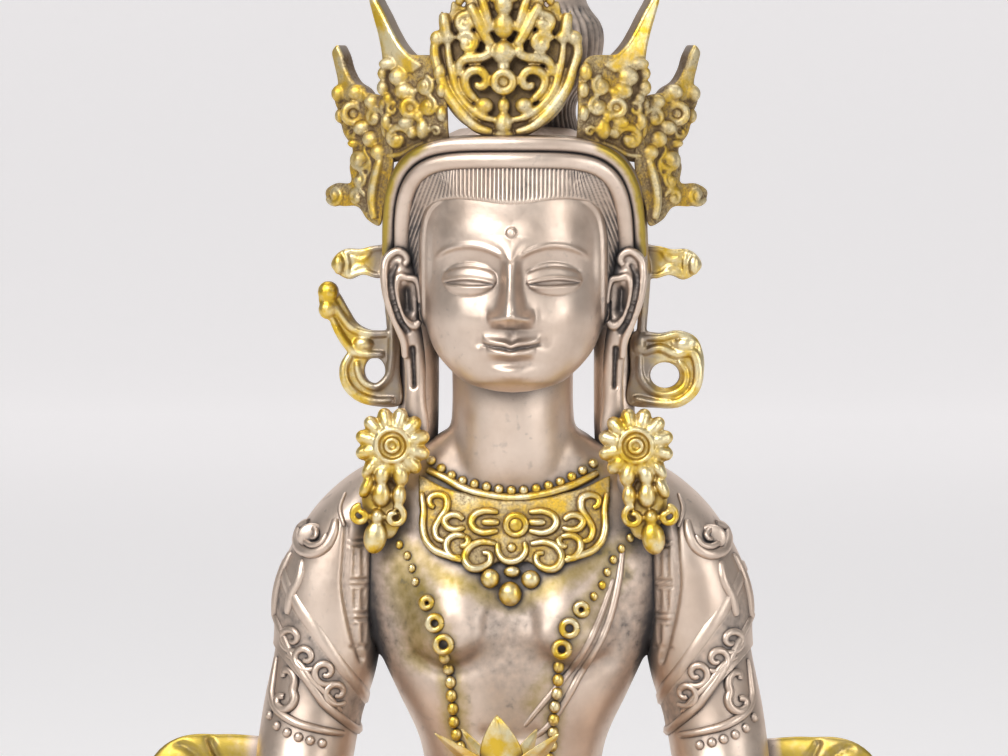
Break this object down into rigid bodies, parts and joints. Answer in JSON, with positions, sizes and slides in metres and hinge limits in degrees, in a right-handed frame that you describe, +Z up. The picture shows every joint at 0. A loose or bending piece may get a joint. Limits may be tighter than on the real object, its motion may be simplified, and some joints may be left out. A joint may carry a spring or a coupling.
{
  "type": "seated bodhisattva statue",
  "caption": "Small cast statue of a crowned bodhisattva seated with a long-life vase in the lap, on an oval double-lotus throne. Silver-toned metal with gilt ornament.",
  "frame": {"origin": "centre of the throne's underside", "axes": "+Z up, the figure faces -Y, +X to the viewer's right"},
  "size_m": [0.129, 0.086, 0.22],
  "materials": {
    "white_metal": "cast copper alloy with a silvery wash, softly polished, dark in the hollows, with gilt ornaments",
    "gilt_metal": "cast copper alloy, gilded, worn"
  },
  "bodies": {
    "root": {"lotus_throne": "white_metal", "figure": "white_metal", "crown": "gilt_metal", "vase": "gilt_metal"}
  },
  "joints": []
}
